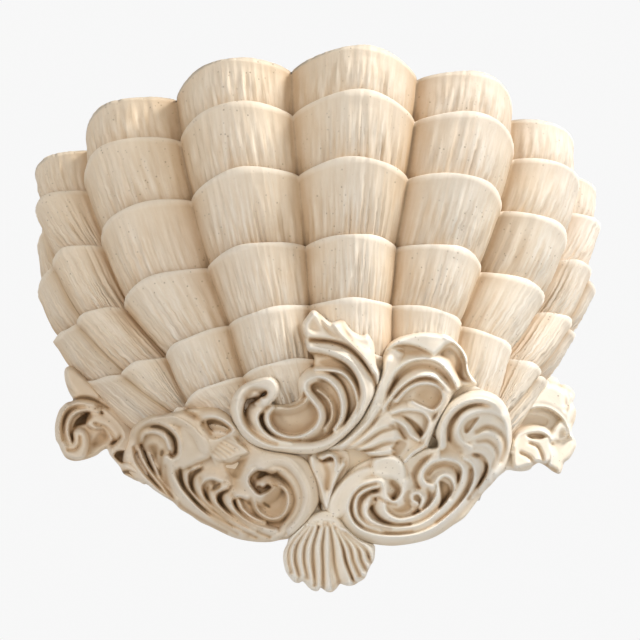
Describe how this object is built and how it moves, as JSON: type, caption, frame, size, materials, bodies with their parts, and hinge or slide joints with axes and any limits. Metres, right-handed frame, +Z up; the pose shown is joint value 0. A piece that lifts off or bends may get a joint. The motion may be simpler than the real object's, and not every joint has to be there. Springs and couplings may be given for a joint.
{
  "type": "shell wall sconce",
  "caption": "Scallop-shell bowl wall uplighter of cast plaster on a scrolled corbel, hung by a strap on a wall plate, with a lampholder and lamp in the bowl.",
  "frame": {"origin": "centre of the two box-screw holes in the wall plate, on the wall plane", "axes": "+Z up, +Y into the wall, -Y out toward the room, +X to the right as seen from the room"},
  "size_m": [0.381, 0.2021, 0.2839],
  "materials": {
    "cast_plaster": "matt cast plaster, cream, with a thin tan wash left in the hollows",
    "pad_rubber": "matt",
    "zinc_steel": "zinc plated, satin",
    "brass": "plain turned brass, satin",
    "green_steel": "green earth screw",
    "porcelain": "white glaze",
    "white_nylon": "moulded, matt",
    "black_insulation": "smooth insulation",
    "white_insulation": "smooth insulation",
    "nickel_cap": "nickel plated",
    "black_glass": "black insulator, gloss",
    "clear_glass": "clear",
    "stem_glass": "clear",
    "filament_coat": "yellow lit strips"
  },
  "bodies": {
    "wall_plate": {"wall_plate": "zinc_steel", "earth_screw": "green_steel"},
    "shell": {"shell_bowl": "cast_plaster", "corbel": "cast_plaster", "centre_scroll": "cast_plaster", "acanthus_spray": "cast_plaster", "left_apron_scroll": "cast_plaster", "right_apron_scroll": "cast_plaster", "centre_leaf": "cast_plaster", "ribbon_fold": "cast_plaster", "pendant_shell": "cast_plaster", "left_ear_leaf": "cast_plaster", "right_ear_leaf": "cast_plaster", "wall_pads": "pad_rubber", "hanger_strap": "zinc_steel", "strap_inserts": "brass", "strap_screws": "zinc_steel", "strap_washers": "zinc_steel", "lamp_bracket": "zinc_steel", "bracket_rivets": "zinc_steel", "lampholder_body": "porcelain", "lampholder_nipple": "brass", "nipple_nut": "zinc_steel", "screw_shell": "brass", "centre_contact": "brass", "terminal_block": "white_nylon", "terminal_screws": "brass", "live_lead": "black_insulation", "neutral_lead": "white_insulation"},
    "bulb": {"bulb_cap": "nickel_cap", "bulb_contact": "nickel_cap", "bulb_insulator": "black_glass", "bulb_glass": "clear_glass", "bulb_stem": "stem_glass", "bulb_filament": "filament_coat"}
  },
  "joints": [
    {"name": "shell_lift", "type": "slide", "parent": "wall_plate", "child": "shell", "axis": [0, 0, 1], "range_m": [0, 0.008]},
    {"name": "bulb_turn", "type": "hinge", "parent": "shell", "child": "bulb", "pos_m": [0, -0.088, 0], "axis": [0, 0, 1], "range_deg": [0, 1080]}
  ]
}
